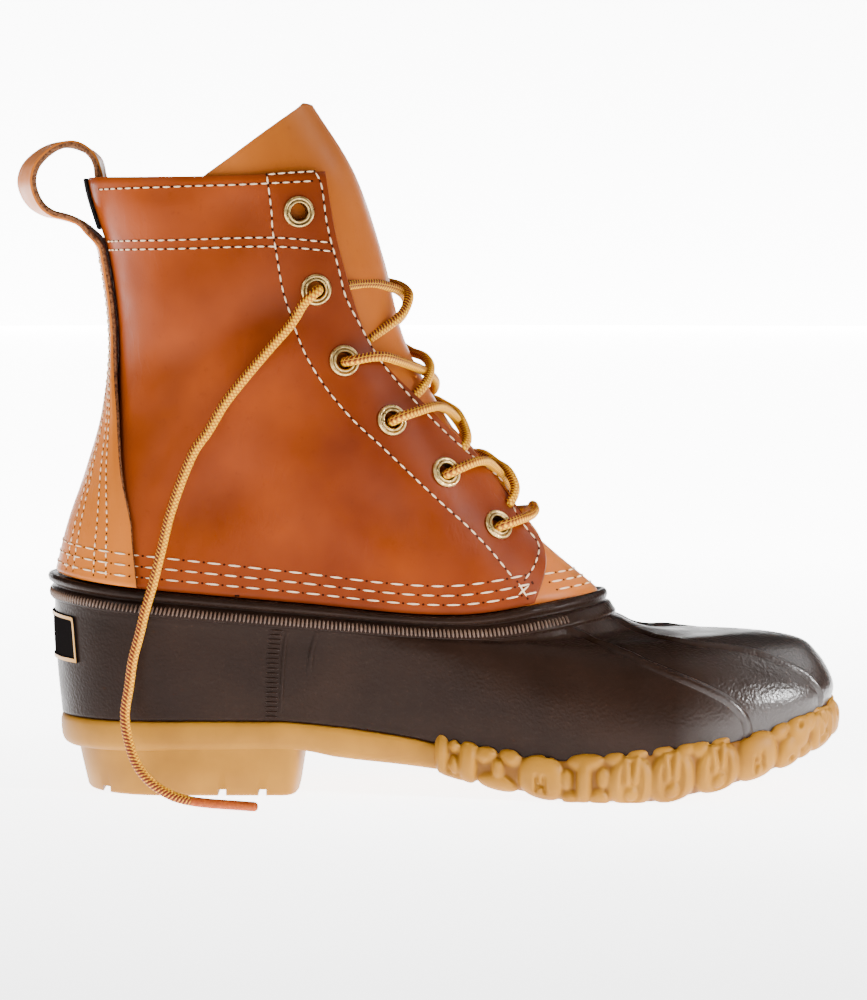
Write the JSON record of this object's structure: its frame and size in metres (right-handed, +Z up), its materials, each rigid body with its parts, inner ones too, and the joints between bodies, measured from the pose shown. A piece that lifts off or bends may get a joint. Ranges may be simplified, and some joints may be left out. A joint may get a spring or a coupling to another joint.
{
  "type": "duck boot",
  "caption": "Ankle-high lace-up duck boot: leather shaft and tongue on a moulded rubber bottom with a gum chain-tread sole.",
  "frame": {"origin": "on the floor under the middle of the heel block", "axes": "+X to the toe, +Z up, -Y the inner (medial) side of the left foot, which the picture shows"},
  "size_m": [0.3037, 0.1255, 0.2543],
  "materials": {
    "gum": "matt gum rubber",
    "insole": "felted board",
    "rubber": "satin dark brown moulded rubber with a fine pebble",
    "badge": "black plate with a gilt frame, bare",
    "leather": "waxed full-grain orange tan",
    "tape": "black woven tape",
    "brass": "antique brass",
    "lace": "round braided gold and brown lace"
  },
  "bodies": {
    "root": {"outsole": "gum", "insole": "insole", "rubber_shell": "rubber", "heel_badge": "badge", "leather_shaft": "leather", "tongue": "leather", "backstay_loop": "leather", "back_binding": "tape", "lace_crossings": "lace", "lace_end": "lace", "eyelet_near_1": "brass", "eyelet_near_2": "brass", "eyelet_near_3": "brass", "eyelet_near_4": "brass", "eyelet_near_5": "brass", "eyelet_near_6": "brass", "eyelet_far_1": "brass", "eyelet_far_2": "brass", "eyelet_far_3": "brass", "eyelet_far_4": "brass", "eyelet_far_5": "brass", "eyelet_far_6": "brass"}
  },
  "joints": []
}
